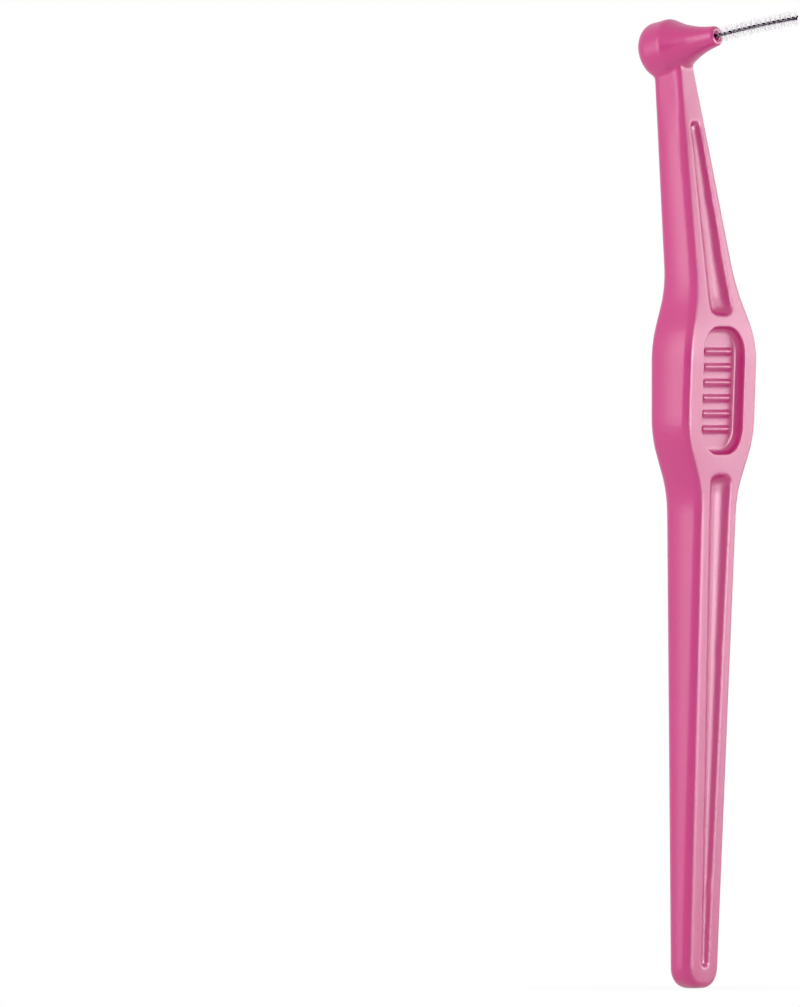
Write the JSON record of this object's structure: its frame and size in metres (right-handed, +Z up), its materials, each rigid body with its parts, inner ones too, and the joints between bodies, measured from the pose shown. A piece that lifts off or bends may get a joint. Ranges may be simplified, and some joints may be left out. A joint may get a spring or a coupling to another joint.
{
  "type": "interdental brush",
  "caption": "Angled interdental brush: a tapering moulded handle with thumb paddle and round head, and a short twisted wire brush standing out of its nozzle for cleaning between teeth.",
  "frame": {"origin": "on the flat back of the grip, in the middle of its width, 40 mm above the foot", "axes": "+Z up the handle, +X the way the nozzle and the brush point, Y across the handle"},
  "size_m": [0.0289, 0.0176, 0.1515],
  "materials": {
    "handle_plastic": "moulded polypropylene, satin",
    "wire_steel": "drawn stainless steel",
    "filament_nylon": "translucent nylon"
  },
  "bodies": {
    "root": {"handle": "handle_plastic", "core_wire": "wire_steel", "filament_fan_01": "filament_nylon", "filament_fan_02": "filament_nylon", "filament_fan_03": "filament_nylon", "filament_fan_04": "filament_nylon", "filament_fan_05": "filament_nylon", "filament_fan_06": "filament_nylon", "filament_fan_07": "filament_nylon", "filament_fan_08": "filament_nylon", "filament_fan_09": "filament_nylon", "filament_fan_10": "filament_nylon", "filament_fan_11": "filament_nylon", "filament_fan_12": "filament_nylon", "filament_fan_13": "filament_nylon", "filament_fan_14": "filament_nylon", "filament_fan_15": "filament_nylon", "filament_fan_16": "filament_nylon"}
  },
  "joints": []
}
